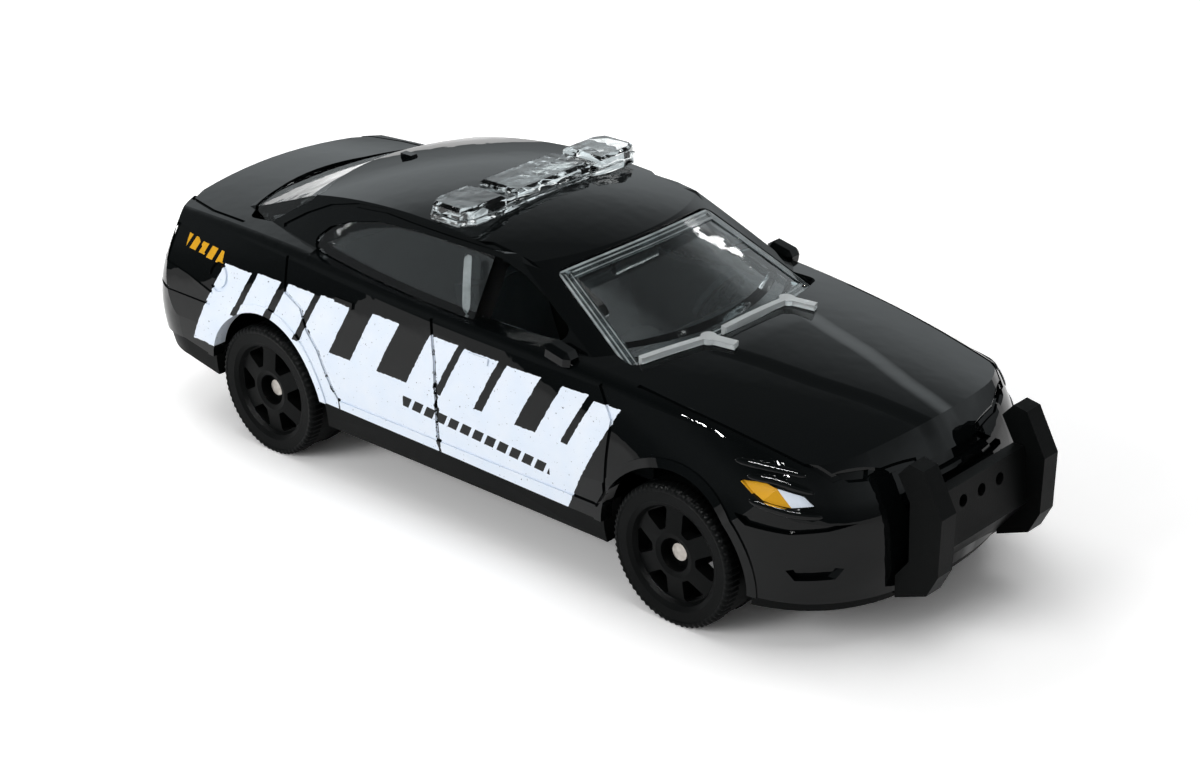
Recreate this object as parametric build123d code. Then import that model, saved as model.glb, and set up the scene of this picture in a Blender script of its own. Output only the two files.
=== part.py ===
"""Small die-cast toy police saloon on free-running wheels.

Frame: millimetres, +X forward, +Y to the car's left, +Z up.  The origin is on
the floor, midway between the two axles.
"""
from build123d import *
from functools import lru_cache
import math
import os

# ---------------------------------------------------------------- driving sizes
WHEELBASE = 42.3
FRONT_AXLE_X = WHEELBASE / 2
REAR_AXLE_X = -WHEELBASE / 2

WHEEL_R = 5.24
WHEEL_WIDTH = 4.4
WHEEL_FACE_Y = 14.0
WHEEL_INNER_Y = WHEEL_FACE_Y - WHEEL_WIDTH
AXLE_Z = WHEEL_R

WALL = 1.0               # die-cast body wall
GLASS = 0.8              # clear moulding wall
FIT = 0.08               # gap between pieces that drop into one another
RUNNING_FIT = 0.05       # radial gap of the wheel bore on its pin

NOSE_X = 35.6
TAIL_X = -38.2

# ---------------------------------------------------------------- body, lower part
SKIRT_Z = 2.6            # every body section starts here and is trimmed later
SHOULDER_TOP = 0.4        # share of an inset by which the shoulder radius shrinks
CORNER_TAIL_R = 6.0
CORNER_NOSE_R = 10.0
PLAN_TAIL_R = 48.0
PLAN_NOSE_R = 24.0

# Cross sections: half widths and heights of the skirt, waist, shoulder and crown
BODY_SECTIONS = (
    # x,     y_skirt, y_waist, z_waist, y_shoulder, z_shoulder, z_crown, shoulder_r
    (-40.0, 12.9, 13.9, 10.0, 10.4, 16.6, 17.3, 0.9),
    (-27.0, 13.2, 14.0, 10.0, 11.6, 17.1, 17.9, 1.0),
    (-12.0, 13.3, 14.0, 10.0, 12.5, 17.0, 18.0, 1.3),
    (6.0, 13.3, 14.0, 10.0, 12.7, 16.5, 17.7, 1.4),
    (17.0, 13.3, 14.0, 10.0, 12.1, 15.8, 16.8, 1.3),
    (27.0, 13.2, 14.0, 9.6, 11.2, 14.4, 15.5, 1.2),
    (37.0, 12.9, 13.9, 8.8, 9.6, 12.3, 13.3, 1.0),
)

# Plan outlines of nose and tail: height, tail x, nose x, half width
PLAN_LEVELS = (
    # z,    x_tail,        x_nose,        half_width
    (2.0, TAIL_X + 1.6, NOSE_X - 1.2, 13.4),
    (6.0, TAIL_X + 0.3, NOSE_X, 13.9),
    (10.0, TAIL_X, NOSE_X - 0.2, 14.1),
    (13.0, TAIL_X + 0.9, NOSE_X - 1.6, 14.0),
    (18.5, TAIL_X + 3.2, NOSE_X - 6.0, 13.2),
)

# Lower edge of the painted body, seen from the side: x, z
BODY_EDGE = (
    (-40.0, 6.8), (-36.5, 6.9), (-31.1, 7.1), (-28.0, 6.5), (-14.0, 6.3),
    (0.0, 6.1), (15.0, 5.8), (27.5, 4.3), (31.0, 4.0), (40.0, 4.0),
)

ARCH_R = 6.45
ARCH_CENTRE_Z = AXLE_Z + 0.05
ARCH_LIP = 0.65           # width of the lip round an arch
LIP_PROUD = 0.14

# Joints drawn on the sides, rear end and lids as grooves
GROOVE_W, GROOVE_D = 0.3, 0.15
SIDE_JOINTS = (           # lines of x, z
    ((-19.3, 16.7), (-18.8, 14.1), (-16.9, 13.4), (-16.0, 11.9), (-14.7, 10.6),
     (-13.2, 7.9), (-12.6, 7.1), (14.5, 7.1), (15.3, 8.3), (15.3, 13.6), (13.7, 15.6)),
    ((-2.7, 16.2), (-1.9, 13.3), (-1.6, 10.3), (-1.6, 7.1)),
    ((-22.6, 17.6), (-20.2, 19.0), (-17.6, 20.2), (-14.5, 21.0), (-11.0, 21.4),
     (2.5, 21.4), (5.7, 20.5), (9.6, 18.7), (12.4, 17.0)),
)
SIDE_JOINT_Y = 8.8        # the side joints are cut from outside down to this
TOP_JOINTS = (            # lines of x, y on the bonnet and boot
    ((16.4, 11.6), (20.5, 11.5), (25.4, 11.1), (30.1, 10.6), (31.7, 9.6), (33.3, 6.4),
     (34.0, 3.4)),
    ((-26.4, 10.6), (-30.5, 10.4), (-34.0, 9.6), (-35.0, 7.4), (-35.3, 3.0), (-35.3, 0.0)),
)
REAR_JOINT_Z = 11.0
REAR_JOINT_X = -27.6
FLAP_X, FLAP_Z, FLAP_R = -26.8, 13.3, 1.15

# Shallow pockets: outlines of x, z cut from the sides
SLOT_DEPTH = WALL / 2
HEADLAMP = (
    (26.5, 12.5), (27.7, 11.9), (29.1, 11.4), (30.3, 11.15), (31.5, 11.3), (30.8, 12.0),
    (30.0, 12.4), (28.3, 12.7),
)
SIDE_SLOTS = (
    ((26.7, 10.5), (30.3, 10.5), (32.3, 10.1), (33.5, 10.0), (32.4, 9.7), (30.4, 9.5),
     (27.6, 9.8)),
)
# Pockets cut from the front and rear: outlines of y, z on the left, copied to the right
FRONT_SLOTS = (
    ((9.3, 13.2), (7.1, 13.05), (7.5, 12.45), (8.8, 12.6)),
    ((12.6, 6.8), (11.6, 7.3), (10.0, 6.9), (10.4, 6.1), (12.2, 6.0)),
)
TAIL_LAMP_SIDE = (
    (-33.4, 16.0), (-33.6, 13.0), (-30.6, 12.6), (-27.3, 11.8), (-28.3, 14.0), (-30.4, 15.7),
)
TAIL_LAMP_REAR = ((12.0, 15.6), (7.9, 15.8), (7.3, 13.3), (12.8, 12.8))
GRILLE = ((-3.3, 12.4), (3.3, 12.4), (5.7, 10.9), (5.0, 8.7), (-5.0, 8.7), (-5.7, 10.9))
GRILLE_BARS_Z = (9.6, 10.5, 11.4)
GRILLE_BAR_T = 0.3
INTAKE_Y, INTAKE_Z = 5.6, (5.4, 7.6)
PLATE_Y, PLATE_Z = 3.6, (11.7, 14.2)

# Door handles: x and z of the middle of each bar on the sides
HANDLES = ((-12.0, 15.0), (2.5, 14.6))
HANDLE_L, HANDLE_H = 2.0, 0.5

FIN_X, FIN_L, FIN_W, FIN_TOP = -18.1, 1.8, 0.6, 21.75
FIN_ROOT_Z = 20.5

# ---------------------------------------------------------------- roof and glass
ROOF_X, ROOF_Z = -6.5, 22.6            # highest point of the roof
ROOF_LONG_R = 62.0
ROOF_CROSS_R = 53.0
SIDE_PLAN_R = 90.0                     # plan radius of the side glass
SIDE_MID_X = -4.0
SIDE_LOW_Y, SIDE_LOW_Z = 12.75, 15.8
SIDE_HIGH_Y, SIDE_HIGH_Z = 9.45, 21.4
SCREEN_R = 14.2                        # windscreen, level radius
SCREEN_LOW_X, SCREEN_LOW_Z = 17.8, 16.0
SCREEN_HIGH_X, SCREEN_HIGH_Z = 6.3, 21.3
REAR_R = 17.0                          # rear screen, level radius
REAR_LOW_X, REAR_LOW_Z = -30.4, 17.5
REAR_HIGH_X, REAR_HIGH_Z = -21.2, 20.9

# Side window opening, seen from the side: x, z
SIDE_WINDOW = (
    (-17.2, 17.1), (-18.3, 17.7), (-16.8, 19.0), (-14.5, 19.9), (-11.5, 20.6),
    (-7.5, 20.9), (1.5, 20.9), (4.0, 20.3), (6.4, 19.3), (9.3, 17.7),
    (8.3, 16.5), (0.0, 16.6),
)
REAR_PANE_END_X = 0.7                  # the clear pane stops here, the rest is open

MIRROR_X, MIRROR_Y, MIRROR_Z = 9.7, 12.2, 16.6
MIRROR_L, MIRROR_W, MIRROR_H = 2.5, 1.6, 1.4
MIRROR_TILT = 12.0
MIRROR_EDGE = 0.4

# Light bar moulded with the glass
BAR_X0, BAR_X1 = -6.6, -2.1
BAR_HALF = 8.5
BAR_TIP = 9.6
BAR_POINT = 1.4           # half width of the blunt tips
BAR_Z0, BAR_Z1 = 22.2, 23.5
BAR_FLANGE_Z = 22.65
BAR_STEP_Z = 23.05        # top of the low parts between the three modules
BAR_INSET = 0.25
MODULE_GAPS = (3.9, 5.1)

# Wipers moulded with the glass: ends of each blade and tail in plan
WIPERS = (
    ((14.8, -9.6), (16.5, -4.3), (18.5, -3.7)),
    ((16.4, -2.6), (16.4, 4.5), (18.4, 5.3)),
)
WIPER_W, WIPER_H = 0.45, 0.4
KNOB_R = 0.6
INNER_MIRROR_X, INNER_MIRROR_T = 5.4, 0.5
INNER_MIRROR_Y, INNER_MIRROR_Z = 2.25, (17.8, 20.2)

# ---------------------------------------------------------------- chassis
FLOOR_Z0 = 4.0
FLOOR_T = 0.9
SILL_Z = 6.1
AXLE_R = 0.5
PIN_END_Y = 13.0
POST_R = 1.5
RIVET_PROUD = 0.2         # peened end of a post, below the floor
POST_XS = (-31.5, 29.5)
PIN_HEAD_R = 0.65
PIN_HEAD_T = 0.3

# ---------------------------------------------------------------- wheels
HUB_R, RECESS_R = 1.65, 1.25
DISC_BACK_Y = WHEEL_FACE_Y - 1.6
WINDOWS = 6
WINDOW_R = (1.95, 3.45)   # inner and outer ends of a window
WINDOW_HALF = (0.3, 1.15) # half widths at those ends

# Edges of the two screens in plan: x in the middle, x at the corner, y at the corner
SCREEN_LOW_EDGE = (16.7, 14.6, 10.2)
SCREEN_TOP_EDGE = (6.6, 5.4, 8.2)
REAR_LOW_EDGE = (-29.7, -26.6, 9.8)
REAR_TOP_EDGE = (-21.6, -19.0, 8.6)
OPENING_CORNER_R = 0.8
PANE_INSET = 0.15
LINER_X0, LINER_Z = -29.8, 15.9
BAR_SLOT_X = (-5.6, -3.4)
BAR_SLOT_Y = 6.0

TRAY_Y, TRAY_Z, TRAY_T, TRAY_RIM_Z = 9.3, 7.4, 0.9, 14.8
RIB_X, RIB_Y = 11.0, 6.0
SEAT_X, SEAT_Y, SEAT_W = -1.5, 4.4, 6.4
BENCH_X, BENCH_W = -15.0, 16.0

# Lower edge of the chassis, seen from the side: x, z
BASE_EDGE = (
    (-40.0, 5.8), (-36.0, 5.7), (-31.3, 5.4), (-28.0, 4.7), (-22.0, 4.0),
    (14.0, 4.0), (27.0, 3.4), (32.0, 3.2), (40.0, 3.4),
)

# Push bumper plate and upright, seen from the side: x, z
PUSH_PLATE = (
    (35.9, 11.4), (36.8, 11.4), (37.2, 7.2), (34.4, 3.7), (33.2, 3.5), (33.2, 4.3),
    (34.0, 4.6), (36.2, 7.4),
)
PUSH_SIDE = (
    (34.8, 3.9), (37.4, 4.9), (38.3, 6.6), (38.5, 10.9), (36.9, 14.0), (35.8, 14.2),
    (34.9, 13.2), (35.9, 11.4), (35.9, 7.0), (34.8, 5.6),
)
PUSH_Y, PUSH_T = 5.9, 1.6
PUSH_HOLE_R, PUSH_HOLE_Z, PUSH_HOLE_YS = 0.45, 10.1, (-2.1, 0.0, 2.1)
SUMP = (8.0, 14.0, 3.0)   # x from, x to, half width
SILENCER_X, SILENCER_R, SILENCER_HALF = -27.2, 1.1, 6.0
PIPE_Y, PIPE_R = 7.6, 0.6


# ---------------------------------------------------------------- helpers
def box(x0, x1, y0, y1, z0, z1):
    """Axis-aligned block between two corners."""
    return Pos((x0 + x1) / 2, (y0 + y1) / 2, (z0 + z1) / 2) * Box(x1 - x0, y1 - y0, z1 - z0)


def cyl_y(x, z, r, y0, y1):
    """Cylinder along Y."""
    return Pos(x, (y0 + y1) / 2, z) * Rot(90, 0, 0) * Cylinder(r, y1 - y0)


def side_prism(points, y0, y1):
    """Prism along Y from a side-view outline of (x, z) points."""
    face = make_face(Polyline(*[(x, 0, z) for x, z in points], close=True))
    prism = extrude(face, amount=y1 - y0, dir=(0, 1, 0))
    return Pos(0, y0, 0) * prism


def plan_prism(points, z0, z1):
    """Prism along Z from a plan outline of (x, y) points."""
    face = make_face(Polyline(*[(x, y, 0) for x, y in points], close=True))
    return Pos(0, 0, z0) * extrude(face, amount=z1 - z0, dir=(0, 0, 1))


def band(points, thickness):
    """Closed side-view outline of a strip of the given thickness above a line of points."""
    upper = [(x, z + thickness) for x, z in reversed(points)]
    return tuple(points) + tuple(upper)


def mirrored(shape):
    return shape.mirror(Plane.XZ)


def ribbon(points, width):
    """Outline of a line of points given a width."""
    left, right = [], []
    for k, (u, v) in enumerate(points):
        u0, v0 = points[max(k - 1, 0)]
        u1, v1 = points[min(k + 1, len(points) - 1)]
        scale = width / 2 / math.hypot(u1 - u0, v1 - v0)
        nu, nv = -(v1 - v0) * scale, (u1 - u0) * scale
        left.append((u + nu, v + nv))
        right.append((u - nu, v - nv))
    return left + right[::-1]


def front_prism(points, x0, x1):
    """Prism along X from a front-view outline of (y, z) points."""
    face = make_face(Polyline(*[(0, y, z) for y, z in points], close=True))
    return Pos(x0, 0, 0) * extrude(face, amount=x1 - x0, dir=(1, 0, 0))


def both_sides(shapes):
    """Every shape and its mirror image across the car."""
    return list(shapes) + [mirrored(shape) for shape in shapes]


@lru_cache(maxsize=None)
def skin(inset):
    """Whole painted form, drawn in by inset."""
    return lower_body(inset) + greenhouse(inset)


# ---------------------------------------------------------------- body surfaces
def body_section(x, y_skirt, y_waist, z_waist, y_shoulder, z_shoulder, z_crown,
                 shoulder_r, inset):
    """One cross section of the lower body: side arc, rounded shoulder, crown arc."""
    ys, yw, yh = y_skirt - inset, y_waist - inset, y_shoulder - inset
    zh, zc = z_shoulder - inset, z_crown - inset
    skirt_l, skirt_r = (x, -ys, SKIRT_Z), (x, ys, SKIRT_Z)
    left, right = (x, -yh, zh), (x, yh, zh)
    side_l = ThreePointArc(skirt_l, (x, -yw, z_waist), left)
    crown = ThreePointArc(left, (x, 0, zc), right)
    side_r = ThreePointArc(right, (x, yw, z_waist), skirt_r)
    face = make_face([side_l, crown, side_r, Line(skirt_r, skirt_l)])
    if inset >= WALL / 2:
        return face
    corners = [v for v in face.vertices() if v.Z > SKIRT_Z + 1]
    return fillet(corners, shoulder_r - SHOULDER_TOP * inset)


def plan_outline(z, x_tail, x_nose, half_width, inset):
    """One plan outline of the nose and tail: arcs with rounded corners."""
    xt, xn, hw = x_tail + inset, x_nose - inset, half_width - inset
    sag_t = PLAN_TAIL_R - math.sqrt(PLAN_TAIL_R ** 2 - hw ** 2)
    sag_n = PLAN_NOSE_R - math.sqrt(PLAN_NOSE_R ** 2 - hw ** 2)
    tail = ThreePointArc((xt + sag_t, -hw, z), (xt, 0, z), (xt + sag_t, hw, z))
    nose = ThreePointArc((xn - sag_n, -hw, z), (xn, 0, z), (xn - sag_n, hw, z))
    face = make_face([
        tail, Line(tail @ 1, nose @ 1), nose, Line(nose @ 0, tail @ 0),
    ])
    tail_corners = [v for v in face.vertices() if v.X < 0]
    face = fillet(tail_corners, CORNER_TAIL_R - inset)
    nose_corners = [v for v in face.vertices() if v.X > 15]
    return fillet(nose_corners, CORNER_NOSE_R - inset)


@lru_cache(maxsize=None)
def lower_body(inset):
    """Solid inside the painted lower body, drawn in by inset."""
    barrel = loft([body_section(*row, inset) for row in BODY_SECTIONS])
    ends = loft([plan_outline(*row, inset) for row in PLAN_LEVELS])
    return barrel & ends


def slanted_cylinder(low, high, r, sign, inset):
    """Level circle of radius r swept along the slope from low to high; sign +1 faces +X."""
    (x0, z0), (x1, z1) = low, high
    slope = math.atan2(z1 - z0, abs(x1 - x0))
    shift = inset / math.sin(slope)
    per_z = (x1 - x0) / (z1 - z0)
    z_start, z_end = 10.0, 28.0
    centre = x0 + per_z * (z_start - z0) - sign * (r + shift)
    reach = 60.0
    arc = ThreePointArc(
        (centre, -r, z_start), (centre + sign * r, 0, z_start), (centre, r, z_start))
    back = centre - sign * reach
    outline = [arc, Line((centre, r, z_start), (back, r, z_start)),
               Line((back, r, z_start), (back, -r, z_start)),
               Line((back, -r, z_start), (centre, -r, z_start))]
    vec = (per_z * (z_end - z_start), 0, z_end - z_start)
    return Solid.extrude(make_face(outline).face(), Vector(*vec))


def side_cone(inset):
    """Solid between the two leaning, gently bowed side-glass surfaces."""
    lean = (SIDE_LOW_Y - SIDE_HIGH_Y) / (SIDE_HIGH_Z - SIDE_LOW_Z)
    z0, z1 = 12.0, 26.0
    centre_y = SIDE_PLAN_R - SIDE_LOW_Y
    drawn = inset * math.hypot(1, lean)
    r0 = SIDE_PLAN_R - drawn + lean * (SIDE_LOW_Z - z0)
    r1 = SIDE_PLAN_R - drawn - lean * (z1 - SIDE_LOW_Z)
    cone = Pos(SIDE_MID_X, centre_y, (z0 + z1) / 2) * Cone(r0, r1, z1 - z0)
    return cone & mirrored(cone)


def roof_barrel(inset):
    """Solid under the roof crown, curved both ways."""
    axis_z = ROOF_Z - ROOF_LONG_R
    half = 18.0
    top = ROOF_Z - inset
    drop = half ** 2 / (2 * ROOF_CROSS_R)
    arc = ThreePointArc((ROOF_X, -half, top - drop), (ROOF_X, 0, top), (ROOF_X, half, top - drop))
    low = 8.0
    face = make_face([
        arc, Line((ROOF_X, half, top - drop), (ROOF_X, half, low)),
        Line((ROOF_X, half, low), (ROOF_X, -half, low)),
        Line((ROOF_X, -half, low), (ROOF_X, -half, top - drop)),
    ])
    sweep = 35.0
    axis = Axis((ROOF_X, 0, axis_z), (0, 1, 0))
    return revolve(face.rotate(axis, -sweep), axis, 2 * sweep)


@lru_cache(maxsize=None)
def greenhouse(inset):
    """Solid inside roof, screens and side glass, drawn in by inset."""
    screen = slanted_cylinder((SCREEN_LOW_X, SCREEN_LOW_Z), (SCREEN_HIGH_X, SCREEN_HIGH_Z),
                              SCREEN_R, 1, inset)
    rear = slanted_cylinder((REAR_LOW_X, REAR_LOW_Z), (REAR_HIGH_X, REAR_HIGH_Z),
                            REAR_R, -1, inset)
    return side_cone(inset) & roof_barrel(inset) & screen & rear & box(-45, 45, -20, 20, 15.5, 30)


# ---------------------------------------------------------------- openings
def arc_plan(rear, front, z0, z1, shrink=0.0):
    """Prism along Z between two bowed edges, each given as (x middle, x corner, y corner)."""
    xm0, xc0, yc0 = rear
    xm1, xc1, yc1 = front
    edge0 = ThreePointArc((xc0, -yc0, z0), (xm0, 0, z0), (xc0, yc0, z0))
    edge1 = ThreePointArc((xc1, -yc1, z0), (xm1, 0, z0), (xc1, yc1, z0))
    face = make_face([edge0, Line(edge0 @ 1, edge1 @ 1), edge1, Line(edge1 @ 0, edge0 @ 0)])
    face = fillet(face.vertices(), OPENING_CORNER_R)
    if shrink:
        face = offset(face, -shrink)
    return extrude(face, amount=z1 - z0, dir=(0, 0, 1))


def side_opening(y0, y1, shrink=0.0):
    """Prism along Y with the rounded outline of a side window."""
    face = make_face(Polyline(*[(x, 0, z) for x, z in SIDE_WINDOW], close=True))
    face = fillet(face.vertices(), 0.5)
    if shrink:
        face = offset(face, -shrink)
    return Pos(0, y0, 0) * extrude(face, amount=y1 - y0, dir=(0, 1, 0))


def openings(shrink=0.0):
    """Windscreen, rear screen and both side windows, as cutting solids."""
    front = arc_plan(SCREEN_TOP_EDGE, SCREEN_LOW_EDGE, 15.0, 24.0, shrink)
    rear = arc_plan(REAR_LOW_EDGE, REAR_TOP_EDGE, 16.4, 24.0, shrink)
    side = side_opening(-20, -7, shrink)
    return [front, rear, side, mirrored(side)]


def wheel_arches(r, y_in):
    """Cylinders that clear the wheels, both sides of both axles."""
    cuts = []
    for x in (REAR_AXLE_X, FRONT_AXLE_X):
        for y0, y1 in ((-20, -y_in), (y_in, 20)):
            cuts.append(cyl_y(x, ARCH_CENTRE_Z, r, y0, y1))
    return cuts


# ---------------------------------------------------------------- pieces
def body_shell():
    outer = skin(0) + [skin(-LIP_PROUD) & part for part in raised_parts()]
    shell = outer - skin(WALL)
    below = side_prism(BODY_EDGE + ((40.0, -2.0), (-40.0, -2.0)), -20, 20)
    shell = shell - below - wheel_arches(ARCH_R, 5.0) - openings()
    shell = shell - box(*BAR_SLOT_X, -BAR_SLOT_Y, BAR_SLOT_Y, 20, 24)
    for tools, depth in ((joint_tools() + lamp_tools(), GROOVE_D), (slot_tools(), SLOT_DEPTH)):
        shell = shell - [tool - skin(depth) for tool in tools]
    inside = lower_body(WALL / 2)
    for x in POST_XS:
        above = box(-50, 50, -20, 20, floor_under(x) - RIVET_PROUD, 30)
        shell = shell + (rivet_post(x, POST_R) & inside & above)
    return shell + mirrors()


def rivet_post(x, r):
    """Upright cylinder long enough to pass through floor and crown."""
    return Pos(x, 0, 12) * Cylinder(r, 20)


def raised_parts():
    """Prisms that keep the arch lips and door handles out of a thicker skin."""
    parts = []
    for x in (REAR_AXLE_X, FRONT_AXLE_X):
        lip = cyl_y(x, ARCH_CENTRE_Z, ARCH_R + ARCH_LIP, -20, -8)
        parts.append(lip - cyl_y(x, ARCH_CENTRE_Z, ARCH_R - 1, -21, -7))
    for x, z in HANDLES:
        parts.append(box(x - HANDLE_L / 2, x + HANDLE_L / 2, -20, -8,
                         z - HANDLE_H / 2, z + HANDLE_H / 2))
    return both_sides(parts)


def joint_tools():
    """Prisms along the joints of doors, lids, rear bumper and fuel flap."""
    tools = both_sides([side_prism(ribbon(line, GROOVE_W), -20, -SIDE_JOINT_Y)
                        for line in SIDE_JOINTS])
    tools += both_sides([plan_prism(ribbon(line, GROOVE_W), 11.5, 20) for line in TOP_JOINTS])
    tools.append(box(-45, REAR_JOINT_X, -20, 20, REAR_JOINT_Z - GROOVE_W / 2,
                     REAR_JOINT_Z + GROOVE_W / 2))
    flap = cyl_y(FLAP_X, FLAP_Z, FLAP_R, -20, -9)
    tools.append(flap - cyl_y(FLAP_X, FLAP_Z, FLAP_R - GROOVE_W, -21, -8))
    return tools


def lamp_tools():
    """Prisms of the lamps and the blank number plate."""
    lamps = both_sides([side_prism(HEADLAMP, -20, -6), side_prism(TAIL_LAMP_SIDE, -20, -8),
                        front_prism(TAIL_LAMP_REAR, -45, -33)])
    return lamps + [box(-45, -30, -PLATE_Y, PLATE_Y, *PLATE_Z)]


def slot_tools():
    """Prisms of the grille, lower intake and corner slots."""
    grille = front_prism(GRILLE, 30, 42)
    for z in GRILLE_BARS_Z:
        grille = grille - box(25, 45, -8, 8, z - GRILLE_BAR_T / 2, z + GRILLE_BAR_T / 2)
    slots = [side_prism(outline, -20, -6) for outline in SIDE_SLOTS]
    slots += [front_prism(outline, 25, 42) for outline in FRONT_SLOTS]
    intake = box(30, 42, -INTAKE_Y, INTAKE_Y, *INTAKE_Z)
    return both_sides(slots) + grille.solids() + [intake]


def mirrors():
    """Door mirrors and roof fin cast on the body."""
    head = Rot(0, MIRROR_TILT, 0) * Box(MIRROR_L, MIRROR_W, MIRROR_H)
    head = Pos(MIRROR_X, -MIRROR_Y, MIRROR_Z) * chamfer(head.edges(), MIRROR_EDGE)
    foot = box(MIRROR_X - MIRROR_L / 4, MIRROR_X + MIRROR_L / 4, -MIRROR_Y, -MIRROR_Y + WALL,
               MIRROR_Z - MIRROR_H, MIRROR_Z)
    rear, front = FIN_X - FIN_L / 2, FIN_X + FIN_L / 2
    fin = side_prism(((rear, FIN_TOP), (rear, FIN_ROOT_Z), (front + FIN_W, FIN_ROOT_Z),
                      (front - FIN_W, FIN_TOP)), -FIN_W / 2, FIN_W / 2)
    cast = head + (foot - skin(WALL / 2))
    return cast + mirrored(cast) + (fin - skin(WALL / 2))


def glazing():
    outer_inset = WALL + FIT
    liner = greenhouse(outer_inset) - greenhouse(outer_inset + GLASS)
    liner = liner & box(LINER_X0, 30, -20, 20, LINER_Z, 30)
    panes = greenhouse(PANE_INSET) - greenhouse(outer_inset + GLASS / 2)
    clear = liner
    for opening in openings(FIT):
        clear = clear + (panes & opening)
    gap = box(REAR_PANE_END_X, 20, -20, 20, 10, 30)
    for side in (side_opening(-20, -7, -0.4), mirrored(side_opening(-20, -7, -0.4))):
        clear = clear - (side & gap)
    clear = clear + box(INNER_MIRROR_X - INNER_MIRROR_T / 2, INNER_MIRROR_X + INNER_MIRROR_T / 2,
                        -INNER_MIRROR_Y, INNER_MIRROR_Y, *INNER_MIRROR_Z)
    return clear + light_bar() + wipers()


def wipers():
    """Blades on the glass, each with a knob and a tail lying over the cowl."""
    on_glass = openings(FIT)[0]
    above = skin(-WIPER_H - FIT)
    parts = None
    for heel, knob, tail in WIPERS:
        tool = plan_prism(ribbon((heel, knob), WIPER_W), LINER_Z, 22)
        tool = tool + plan_prism(ribbon((knob, tail), 1.6 * WIPER_W), LINER_Z, 22)
        tool = tool + Pos(*knob, LINER_Z + 2) * Cylinder(KNOB_R, 4)
        tool = tool & above
        blade = (tool - skin(-FIT)) + ((tool & on_glass) - greenhouse(PANE_INSET + FIT))
        parts = blade if parts is None else parts + blade
    return parts


def bar_plan(inset, y0=0.0, y1=2 * BAR_TIP):
    """Plan outline of the light bar's right half between two distances from the middle."""
    xm, half = (BAR_X0 + BAR_X1) / 2, BAR_HALF - inset / 2
    x0, x1, tip = BAR_X0 + inset, BAR_X1 - inset, BAR_TIP - inset
    end = min(y1, tip)
    if end < tip:
        return [(x0, -y0), (x0, -end), (x1, -end), (x1, -y0)]
    return [(x0, -y0), (x0, -half), (xm - BAR_POINT, -tip), (xm + BAR_POINT, -tip),
            (x1, -half), (x1, -y0)]


def light_bar():
    """Clear bar across the roof with pointed ends, on a stem through the roof slot."""
    gap0, gap1 = MODULE_GAPS
    half = plan_prism(bar_plan(0), BAR_Z0, BAR_FLANGE_Z)
    half = half + plan_prism(bar_plan(2 * BAR_INSET, 0, gap1 + BAR_INSET), BAR_Z0, BAR_STEP_Z)
    for y0, y1 in ((0.0, gap0), (gap1, 2 * BAR_TIP)):
        module = plan_prism(bar_plan(BAR_INSET, y0, y1), BAR_Z0, BAR_Z1)
        top = module.faces().sort_by(Axis.Z)[-1]
        rim = [edge for edge in top.edges() if abs(edge.center().Y) > 0.01]
        half = half + chamfer(rim, BAR_INSET)
    bar = half + mirrored(half)
    stem = box(BAR_SLOT_X[0] + FIT, BAR_SLOT_X[1] - FIT, -BAR_SLOT_Y + FIT, BAR_SLOT_Y - FIT,
               20.6, BAR_Z0 + 0.3)
    return (bar - roof_barrel(-FIT)) + stem


def interior():
    """Black moulding: tray, two front seats, rear bench, dash and steering wheel."""
    tray = box(-26, 15.5, -TRAY_Y, TRAY_Y, TRAY_Z, TRAY_Z + TRAY_T)
    rim0, rim1 = TRAY_Y - TRAY_T, TRAY_Y
    for y0, y1 in ((-rim1, -rim0), (rim0, rim1)):
        tray = tray + box(-26, 15.5, y0, y1, TRAY_Z, TRAY_RIM_Z)
    pieces = tray
    for y in (-SEAT_Y, SEAT_Y):
        pieces = pieces + seat(SEAT_X, y, SEAT_W)
    pieces = pieces + seat(BENCH_X, 0, BENCH_W)
    dash = side_prism(((10.5, TRAY_Z), (15.5, TRAY_Z), (15.5, 14.7), (12.0, 15.3), (10.5, 14.4)),
                      -TRAY_Y, TRAY_Y)
    pieces = pieces + dash
    wheel = Rot(0, -60, 0) * (Cylinder(2.2, 0.5) - Cylinder(1.7, 1.0) + Box(4.0, 0.6, 0.4))
    column = Rot(0, -60, 0) * Pos(0, 0, -1.2) * Cylinder(0.4, 2.4)
    pieces = pieces + Pos(9.6, SEAT_Y, 14.9) * (wheel + column)
    for x in POST_XS:
        pieces = pieces - Pos(x, 0, 10) * Cylinder(POST_R + FIT, 20)
    return pieces


def seat(x, y, width):
    """Seat cushion, leaning back and head restraints; x is the foot of the back."""
    half = width / 2
    outline = ((x - 2.6, TRAY_Z), (x + 6.5, TRAY_Z), (x + 6.8, 9.6), (x + 0.9, 9.2),
               (x - 1.8, 16.6), (x - 3.6, 16.4))
    body = side_prism(outline, y - half, y + half)
    rest = side_prism(((x - 3.7, 16.0), (x - 1.9, 16.2), (x - 2.3, 18.4), (x - 3.9, 18.2)),
                      y - 1.7, y + 1.7)
    if width > 10:
        rest = Pos(0, -SEAT_Y, 0) * rest + Pos(0, SEAT_Y, 0) * rest
    return body + rest


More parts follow.
